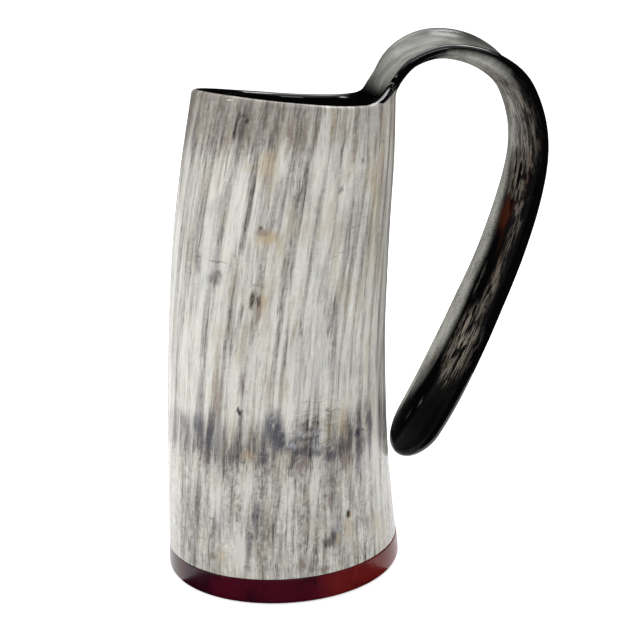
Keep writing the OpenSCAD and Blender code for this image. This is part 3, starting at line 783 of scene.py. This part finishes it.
def wall_colour(bench, on):
    """Pale horn with its streaks, and over them the marks of this cup, and a pit painted with shade and a
    highlight.
    """
    # long marks fray along the fibres, small ones wobble and fray a little
    frayed = on.height + swing(on.ragged, 18.0)
    long_spot = spot(on.across + swing(on.narrow, 1.5), frayed)
    wobble = pattern(on.place, "wobble", "Color")
    wobble_x, wobble_y = (bench.node("SeparateXYZ", {}, {"Vector": wobble}, axis) for axis in "XY")
    small_spot = spot(on.across + swing(wobble_x, 1.8) + swing(on.hair, 1.2),
                      on.height + swing(wobble_y, 2.0) + swing(on.ragged, 5.0))
    top = fade(frayed, *TOP_ZONE) * (1 - 0.5 * fade(on.across, *TOP_SIDE))
    foot = fade(frayed, *FOOT_ZONE)
    tone = wall_tone(bench, on, long_spot, small_spot, top, foot)
    colour = tone.node("ValToRGB", {"stops": [(at, tint(*shade)) for at, shade in WALL_SHADES]}, {0: tone})
    warmth = pattern(on.place, "warmth")
    colour = mixed(fade(warmth, 0.52, 0.70) * (0.42 - 0.2 * foot), colour, tint(*WARM))
    colour = mixed(fade(warmth, 0.46, 0.32) * 0.32, colour, tint(*COOL))
    colour = mixed(top * 0.3, colour, tint(*SMOKY))

    colour = mixed(0.75 * marked(small_spot, leaned(TAN_MARKS), 0.7), colour, tint(*TAN))
    colour = mixed(0.75 * marked(small_spot, leaned(BROWN_MARKS), 0.7), colour, tint(*BROWN))
    share = 0.88 * marked(small_spot, leaned(BLUE_DARK), 0.65)
    blotchy = fade(on.mottle + 0.6 * on.narrow + 0.5 * on.hair, 0.72, 1.08)
    colour = mixed(share * blotchy, colour, tint(*SLATE))
    colour = mixed(0.7 * marked(small_spot, leaned(BLUE_PALE), 0.7), colour, tint(*MILKY))
    share = 0.95 * marked(small_spot, leaned(DARK_KNOTS), 0.6)
    colour = mixed(share * fade(on.hair + on.mottle, 0.5, 0.95), colour, tint(*KNOT))

    # cracks bend and break up, and the pit lies just where it is put, painted with shade and a highlight
    bend = pattern(on.place, "bend")
    crack_spot = spot(on.across + swing(bend, 1.5), on.height + swing(bend, 4.0) + swing(on.mottle, 0.8))
    share = 0.75 * marked(crack_spot, leaned(CRACKS), 0.95)
    colour = mixed(share * fade(on.mottle + on.narrow, 0.6, 1.1), colour, tint(*CRACK))
    pit_spot = spot(on.across, on.height)
    # painted shade in the pit's hole, then a painted highlight on its lit right wall
    colour = mixed(0.95 * marked(pit_spot, leaned(PIT), 0.5), colour, tint(*PIT_SHADE))
    return mixed(0.9 * marked(pit_spot, leaned(PIT_LIT_WALL), 0.6), colour, tint(*PIT_HIGHLIGHT_AMBER))


def strap_colour(on):
    """Black horn, greyed on the far half by a painted reflection that is partly the horn's own grey, with
    flecks along the strap that run on round its edges.
    """
    up = on.strap + swing(on.ragged, 10.0)
    strap_spot = spot(on.beside + swing(on.narrow, 2.0) - STRAP_SHIFT * fade(on.depth, 0.0, 1.0), up)
    arch_spot = spot(on.beside + swing(on.narrow, 2.0), up)
    cup_side = fade(on.depth, 0.5, 0.2)
    cloudy = pattern(on.place, "cloudy")
    # the painted reflection on the far half, partly the horn's own grey, broken by fine scratches
    sheen_scratches = fade(0.7 * on.scratch + 0.3 * on.hair + swing(cloudy, 0.5), 0.36, 0.62)
    colour = mixed(marked(strap_spot, STRAP_GREY_AND_SHEEN, 0.35) * cup_side * (0.45 + 0.55 * sheen_scratches),
                   tint(*BLACK_HORN), tint(*GREY_HORN_AND_SHEEN))
    fleck = fade(pattern(on.round_edge, "fleck"), 0.45, 0.54)
    fleck = fleck * fade(pattern(on.round_edge, "gaps"), 0.60, 0.54)
    holes = marked(strap_spot, STRAP_GREY, 0.45) * cup_side
    colour = mixed(holes * (1 - fleck) * 0.95, colour, tint(*DEEP_BLACK))
    colour = mixed(holes * fleck * (0.45 + 0.55 * fade(cloudy, 0.3, 0.6)), colour, tint(*FLECK_GREY))
    share = 0.95 * cup_side * marked(strap_spot, STRAP_BROWN, 0.7)
    colour = mixed(share * (0.6 + 0.4 * fleck), colour, tint(*FOX_BROWN))
    # painted reflection on the top face of the arch, broken by cloudy patches
    share = marked(arch_spot, ARCH_SHEEN_MARKS, 0.5) * fade(on.depth, 0.78, 0.95)
    return mixed(share * (0.55 + 0.45 * fade(cloudy, 0.3, 0.6)), colour, tint(*ARCH_SHEEN_GREY))


def horn_finish():
    """Pale streaked horn on the wall, black horn on the strap and inside, with a polished lip."""
    finish, bench = new_finish("streaked_horn")
    on = horn_ground(bench)
    pale = wall_colour(bench, on)
    depths = bench.node("CombineXYZ", {}, {"X": on.depth, "Y": on.depth, "Z": on.depth})
    on.round_edge = on.place.vector("MULTIPLY_ADD", depths, EDGE_TURN, on.place)
    on.scratch = pattern(on.round_edge, "scratch")
    on.beside = on.across - STRAP_ACROSS
    black = strap_colour(on)

    near_root = fade(bench.math("ABSOLUTE", on.beside), 33.0, 28.0)
    to_black = fade(on.strap + swing(on.ragged, 2.0), 3.0, 7.0)
    inside = bench.math("MAXIMUM", fade(on.depth + 0.40 * near_root, 0.42, 0.47), to_black)
    lining = fade(on.depth, 0.5, 0.9) * fade(on.strap, 5.0, 1.0)
    colour = mixed(inside, pale, mixed(lining, black, tint(*LINING)))
    gloss = 0.36 + swing(on.hair, 0.1) - 0.2 * inside + 0.10 * inside * (on.scratch - 0.5)
    lip = fade(on.depth, 0.06, 0.2) * fade(on.depth, 0.98, 0.85)
    surface(bench, {"Base Color": colour, "Roughness": gloss, "Specular IOR Level": 0.09,
                    "Coat Weight": 0.4 + inside * (0.65 * lip - 0.34), "Coat Roughness": 0.07},
            on.hair * (1 - inside) + 0.5 * on.scratch * inside * (1 - lip), 0.00004)
    return finish


def wood_finish():
    """Dark red stain, polished: nearly black towards one side of the base, redder towards the other."""
    finish, bench = new_finish("stained_wood")
    place = bench.node("TexCoord", out="Object")
    lines = grain(place, (0.0007, 0.0007, 0.010), 4.0, 0.6)
    cloud = grain(shifted(place, (0.03, 0.0, 0.0)), 0.016, 3.0)
    pores = grain(place, (0.0003, 0.0003, 0.0022), 2.0, 0.5)
    side = bench.node("SeparateXYZ", {}, {"Vector": place}, "X") * 25.0 + 0.5 * (cloud - 0.5)
    red = mixed(fade(cloud, 0.35, 0.65), tint(80, 5, 7), tint(112, 22, 17))
    dark_side = mixed(fade(cloud, 0.62, 0.40), tint(70, 0, 24), tint(42, 4, 20))
    colour = mixed(fade(side, 0.45, -0.05), red, dark_side)
    colour = mixed(fade(lines, 0.5, 0.75) * 0.5, colour, tint(30, 5, 8))
    colour = mixed(fade(pores, 0.60, 0.75) * 0.4, colour, tint(20, 4, 6))
    surface(bench, {"Base Color": colour, "Roughness": 0.27 + 0.1 * (cloud - 0.5),
                    "Specular IOR Level": 0.28}, lines, 0.00002)
    return finish


def glue_finish():
    finish, bench = new_finish("glue_line")
    place = bench.node("TexCoord", out="Object")
    colour = mixed(fade(grain(place, 0.002), 0.4, 0.6), tint(42, 30, 26), tint(60, 44, 34))
    surface(bench, {"Base Color": colour, "Roughness": 0.3})
    return finish


def coat_finish():
    finish, bench = new_finish("clear_coat")
    place = bench.node("TexCoord", out="Object")
    colour = mixed(fade(grain(place, 0.01), 0.4, 0.6), tint(30, 22, 18), tint(44, 30, 24))
    surface(bench, {"Base Color": colour, "Roughness": 0.12}, grain(place, 0.012, 1.0), 0.0001)
    return finish


finished(horn_piece(), "horn_cup", horn_finish(), "horn", sharp=60)
finished(turned_piece(base_profile()), "turned_base", wood_finish(), "wood_base")
finished(turned_piece(glue_profile()), "glue_line", glue_finish(), "base_glue")
finished(turned_piece(seal_profile()), "floor_coat", coat_finish(), "floor_seal")


# The table, the light and the camera

CUP_MIDDLE = (0.01, 0, 0.08)


def is_seen(bench):
    """1 for rays that show the background: straight to the camera, or by way of gloss or glass."""
    straight, gloss, glass = (bench.node("LightPath", out="Is %s Ray" % way)
                              for way in ("Camera", "Glossy", "Transmission"))
    return bench.math("MAXIMUM", straight, bench.math("MAXIMUM", gloss, glass))


def staged(bm, name, finish):
    """Puts a piece of the studio in the scene, which isn't part of the cup."""
    piece = put_in_scene(bm, name, finish)
    return piece


def table_top():
    bm = bmesh.new()
    bmesh.ops.create_grid(bm, x_segments=4, y_segments=4, size=6.0)
    finish, bench = new_finish("white_table")
    plain = bench.node("BsdfDiffuse", {}, {"Color": (0.8, 0.8, 0.8, 1)})
    white = bench.node("Emission", {}, {"Color": (1, 1, 1, 1), "Strength": 0.62})
    both = bench.node("AddShader", {}, {0: plain, 1: white})
    shader = bench.node("MixShader", {}, {0: is_seen(bench), 1: plain, 2: both})
    bench.node("OutputMaterial", {}, {"Surface": shader})
    staged(bm, "table_top", finish)


def dark_card():
    """Black cards on the table and round it, which only the gloss of the cup shows."""
    far, lift, top = 1.3, 0.0005, 1.5
    swept = ((0, 360, (far, lift), (far, top)),
             (-166, 126, (0.0394, lift), (far, lift)),
             (-40, 135, (0.16, lift), (far, lift)),
             (66, 29, (0.12, lift), (0.16, lift)))
    bm = bmesh.new()
    for start, turn, *line in swept:
        points = [bm.verts.new((r * cos(radians(start)), r * sin(radians(start)), z)) for r, z in line]
        edges = [bm.edges.new(pair) for pair in zip(points, points[1:])]
        bmesh.ops.spin(bm, geom=points + edges, cent=(0, 0, 0), axis=(0, 0, 1),
                       angle=radians(turn), steps=40, use_merge=False, use_duplicate=False)
    finish, bench = new_finish("black_card")
    shader = bench.node("BsdfDiffuse", {}, {"Color": (0.004, 0.004, 0.004, 1)})
    bench.node("OutputMaterial", {}, {"Surface": shader})
    card = staged(bm, "black_card", finish)
    card.visible_camera = False
    card.visible_diffuse = False
    card.visible_shadow = False
    card.visible_transmission = False


def room_light():
    """An even white room, a little dimmer on the cup than where the background shows it."""
    world = bpy.data.worlds.new("studio")
    bpy.context.scene.world = world
    world.use_nodes = True
    world.node_tree.nodes.clear()
    bench = Tone(world.node_tree)
    dim = 0.74
    strength = dim + (1 - dim) * is_seen(bench)
    light = bench.node("Background", {}, {"Color": (1, 1, 1, 1), "Strength": strength})
    bench.node("OutputWorld", {}, {"Surface": light})


def soft_box(name, place, size, power):
    """A soft rectangular lamp turned to face the cup: place and size in metres, power in watts."""
    lamp = bpy.data.lights.new(name, "AREA")
    lamp.shape, lamp.size, lamp.size_y, lamp.energy = "RECTANGLE", size[0], size[1], power
    held = bpy.data.objects.new(name, lamp)
    held.location = place
    held.rotation_euler = (Vector(CUP_MIDDLE) - Vector(place)).to_track_quat("-Z", "Y").to_euler()
    bpy.context.scene.collection.objects.link(held)


def camera():
    """The photograph's view: from a little left of the cup's front and a little above."""
    azimuth, elevation, roll = radians(-15), radians(15.368), radians(-2.321)
    back = Vector((sin(azimuth) * cos(elevation), -cos(azimuth) * cos(elevation), sin(elevation)))
    across = Vector((cos(azimuth), sin(azimuth), 0))
    upright = back.cross(across)
    right = cos(roll) * across + sin(roll) * upright
    up = -sin(roll) * across + cos(roll) * upright
    target, distance = Vector((0.01539, -0.00412, 0.08487)), 0.48913
    lens = bpy.data.cameras.new("camera")
    lens.sensor_width, lens.lens = 36, 81.68
    lens.clip_start = 0.01
    held = bpy.data.objects.new("camera", lens)
    turn = Matrix((right, up, back)).transposed().to_4x4()
    held.matrix_world = Matrix.Translation(target + distance * back) @ turn
    bpy.context.scene.collection.objects.link(held)
    bpy.context.scene.camera = held


table_top()
room_light()
dark_card()
soft_box("key", (-0.08, -0.80, 0.78), (0.5, 0.09), 1.6)
soft_box("side", (-0.84, -0.02, 0.60), (0.10, 0.34), 2.4)
soft_box("overhead", (0.12, 0.36, 0.95), (0.75, 0.42), 4.0)
soft_box("glint", (0.50, 0.17, 0.96), (0.14, 0.30), 2.2)
camera()
bpy.context.scene.view_settings.view_transform = "Standard"
